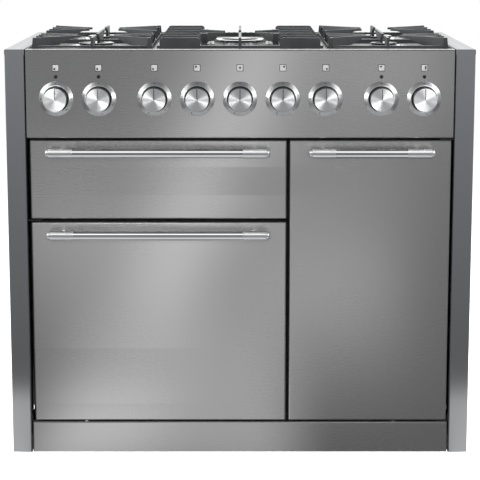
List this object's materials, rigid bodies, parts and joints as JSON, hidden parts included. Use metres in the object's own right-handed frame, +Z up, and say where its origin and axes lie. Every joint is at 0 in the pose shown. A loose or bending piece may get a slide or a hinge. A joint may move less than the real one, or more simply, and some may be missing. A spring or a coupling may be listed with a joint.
{
  "type": "range cooker",
  "caption": "Free-standing dual fuel range cooker: five-burner gas hob, glide-out grill, a wide oven and a tall oven with side-hung doors, rail handles and a bare plinth.",
  "frame": {"origin": "on the floor, under the middle of the whole outline (the handles' reach is counted in the depth)", "axes": "+X to the right seen from the front, +Y towards the wall behind, +Z up; the doors face -Y"},
  "size_m": [1, 0.65, 0.925],
  "materials": {
    "steel": "vertically brushed stainless steel",
    "trim_steel": "brushed stainless steel, slightly bluish",
    "zinc_steel": "zinc plated sheet",
    "black_steel": "black paint",
    "enamel": "glossy dark enamel",
    "chrome": "polished",
    "satin": "turned and polished steel",
    "brass": "machined",
    "iron": "matt black enamelled casting",
    "cap_enamel": "black enamel",
    "aluminium": "cast",
    "element": "heat-darkened steel tube",
    "seal": "matt",
    "lens": "unlit neon lens",
    "ceramic": "white ceramic and moulding"
  },
  "bodies": {
    "root": {"control_panel": "steel", "plinth": "steel", "hob_tray": "steel", "rear_vent_grille": "steel", "side_panel_left": "trim_steel", "side_panel_right": "trim_steel", "back_panel": "zinc_steel", "hinge_brackets": "zinc_steel", "burner_cups": "zinc_steel", "base_tray": "black_steel", "front_frame": "black_steel", "levelling_feet": "black_steel", "terminal_box": "black_steel", "main_oven_liner": "enamel", "tall_oven_liner": "enamel", "grill_liner": "enamel", "fan_covers": "enamel", "shelf_ladders": "chrome", "oven_shelves": "chrome", "knob_bezels": "satin", "gas_rail": "brass", "gas_taps": "brass", "burner_caps": "cap_enamel", "burner_heads": "aluminium", "fan_motors": "aluminium", "heating_elements": "element", "door_seals": "seal", "indicator_lamps": "lens", "burner_probes": "ceramic", "oven_switches": "ceramic"},
    "main_door": {"main_door_panel": "steel", "main_door_liner": "enamel", "main_door_handle": "chrome"},
    "tall_door": {"tall_door_panel": "steel", "tall_door_liner": "enamel", "tall_door_handle": "chrome"},
    "grill_drawer": {"grill_front_panel": "steel", "grill_handle": "chrome", "grill_carriage": "zinc_steel", "grill_pan": "enamel"},
    "grill_runners": {"grill_runner_slides": "zinc_steel"},
    "main_fan": {"main_oven_fan": "aluminium"},
    "tall_fan": {"tall_oven_fan": "aluminium"},
    "support_left": {"pan_support_left": "iron"},
    "support_centre": {"pan_support_centre": "iron"},
    "support_right": {"pan_support_right": "iron"},
    "function_knob": {"oven_function_knob": "satin"},
    "oven_knob": {"oven_heat_knob": "satin"},
    "grill_knob": {"grill_heat_knob": "satin"},
    "tall_knob": {"tall_heat_knob": "satin"},
    "spindle_1": {"gas_spindle_1": "brass"},
    "knob_1": {"gas_knob_1": "satin"},
    "spindle_2": {"gas_spindle_2": "brass"},
    "knob_2": {"gas_knob_2": "satin"},
    "spindle_3": {"gas_spindle_3": "brass"},
    "knob_3": {"gas_knob_3": "satin"},
    "spindle_4": {"gas_spindle_4": "brass"},
    "knob_4": {"gas_knob_4": "satin"},
    "spindle_5": {"gas_spindle_5": "brass"},
    "knob_5": {"gas_knob_5": "satin"}
  },
  "joints": [
    {"name": "main_door_swing", "type": "hinge", "parent": "root", "child": "main_door", "pos_m": [-0.4354, -0.265, 0.31275], "axis": [0, 0, -1], "range_deg": [0, 100]},
    {"name": "tall_door_swing", "type": "hinge", "parent": "root", "child": "tall_door", "pos_m": [0.4384, -0.265, 0.40145], "axis": [0, 0, 1], "range_deg": [0, 100]},
    {"name": "grill_slide", "type": "slide", "parent": "root", "child": "grill_drawer", "axis": [0, -1, 0], "range_m": [0, 0.33]},
    {"name": "runner_slide", "type": "slide", "parent": "root", "child": "grill_runners", "axis": [0, -1, 0], "range_m": [0, 0.165]},
    {"name": "main_fan_spin", "type": "hinge", "parent": "root", "child": "main_fan", "pos_m": [-0.1748, 0.183, 0.31275], "axis": [0, 1, 0], "continuous": true},
    {"name": "tall_fan_spin", "type": "hinge", "parent": "root", "child": "tall_fan", "pos_m": [0.2794, 0.183, 0.40145], "axis": [0, 1, 0], "continuous": true},
    {"name": "support_left_lift", "type": "slide", "parent": "root", "child": "support_left", "axis": [0, 0, 1], "range_m": [0, 0.12]},
    {"name": "support_centre_lift", "type": "slide", "parent": "root", "child": "support_centre", "axis": [0, 0, 1], "range_m": [0, 0.12]},
    {"name": "support_right_lift", "type": "slide", "parent": "root", "child": "support_right", "axis": [0, 0, 1], "range_m": [0, 0.12]},
    {"name": "function_turn", "type": "hinge", "parent": "root", "child": "function_knob", "pos_m": [-0.3915, -0.275, 0.8], "axis": [0, 1, 0], "continuous": true},
    {"name": "oven_turn", "type": "hinge", "parent": "root", "child": "oven_knob", "pos_m": [-0.3005, -0.275, 0.8], "axis": [0, 1, 0], "range_deg": [0, 280]},
    {"name": "grill_turn", "type": "hinge", "parent": "root", "child": "grill_knob", "pos_m": [0.3005, -0.275, 0.8], "axis": [0, 1, 0], "range_deg": [0, 250]},
    {"name": "tall_turn", "type": "hinge", "parent": "root", "child": "tall_knob", "pos_m": [0.3915, -0.275, 0.8], "axis": [0, 1, 0], "range_deg": [0, 280]},
    {"name": "gas_turn_1", "type": "hinge", "parent": "root", "child": "spindle_1", "pos_m": [-0.182, -0.275, 0.8], "axis": [0, -1, 0], "range_deg": [0, 225]},
    {"name": "gas_push_1", "type": "slide", "parent": "spindle_1", "child": "knob_1", "axis": [0, 1, 0], "range_m": [0, 0.003], "stiffness_N_per_m": 1500},
    {"name": "gas_turn_2", "type": "hinge", "parent": "root", "child": "spindle_2", "pos_m": [-0.091, -0.275, 0.8], "axis": [0, -1, 0], "range_deg": [0, 225]},
    {"name": "gas_push_2", "type": "slide", "parent": "spindle_2", "child": "knob_2", "axis": [0, 1, 0], "range_m": [0, 0.003], "stiffness_N_per_m": 1500},
    {"name": "gas_turn_3", "type": "hinge", "parent": "root", "child": "spindle_3", "pos_m": [0, -0.275, 0.8], "axis": [0, -1, 0], "range_deg": [0, 225]},
    {"name": "gas_push_3", "type": "slide", "parent": "spindle_3", "child": "knob_3", "axis": [0, 1, 0], "range_m": [0, 0.003], "stiffness_N_per_m": 1500},
    {"name": "gas_turn_4", "type": "hinge", "parent": "root", "child": "spindle_4", "pos_m": [0.091, -0.275, 0.8], "axis": [0, -1, 0], "range_deg": [0, 225]},
    {"name": "gas_push_4", "type": "slide", "parent": "spindle_4", "child": "knob_4", "axis": [0, 1, 0], "range_m": [0, 0.003], "stiffness_N_per_m": 1500},
    {"name": "gas_turn_5", "type": "hinge", "parent": "root", "child": "spindle_5", "pos_m": [0.182, -0.275, 0.8], "axis": [0, -1, 0], "range_deg": [0, 225]},
    {"name": "gas_push_5", "type": "slide", "parent": "spindle_5", "child": "knob_5", "axis": [0, 1, 0], "range_m": [0, 0.003], "stiffness_N_per_m": 1500}
  ],
  "couplings": [
    {"joint": "runner_slide", "follows": "grill_slide", "ratio": 0.5}
  ]
}
